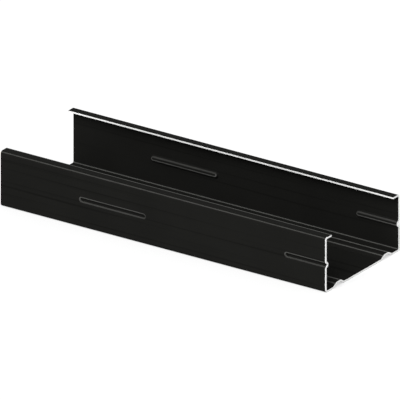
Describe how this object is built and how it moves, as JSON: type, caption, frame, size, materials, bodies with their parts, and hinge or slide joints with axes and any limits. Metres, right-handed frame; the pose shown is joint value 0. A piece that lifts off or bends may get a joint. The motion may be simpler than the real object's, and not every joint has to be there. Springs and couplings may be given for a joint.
{
  "type": "metal framing stud",
  "caption": "Short length of roll-formed C-section metal stud with returned lips, web ribs and embossed flange beads, in black coated sheet steel.",
  "frame": {"origin": "middle of the web's underside, which is the bottom centre of the box", "axes": "+X along the stud to the cut end that a bead runs out of, +Y across the web to the taller flange, +Z out of the web towards the open side"},
  "size_m": [0.276, 0.0922, 0.0432],
  "materials": {
    "black_coating": "matte"
  },
  "bodies": {
    "root": {"stud": "black_coating"}
  },
  "joints": []
}
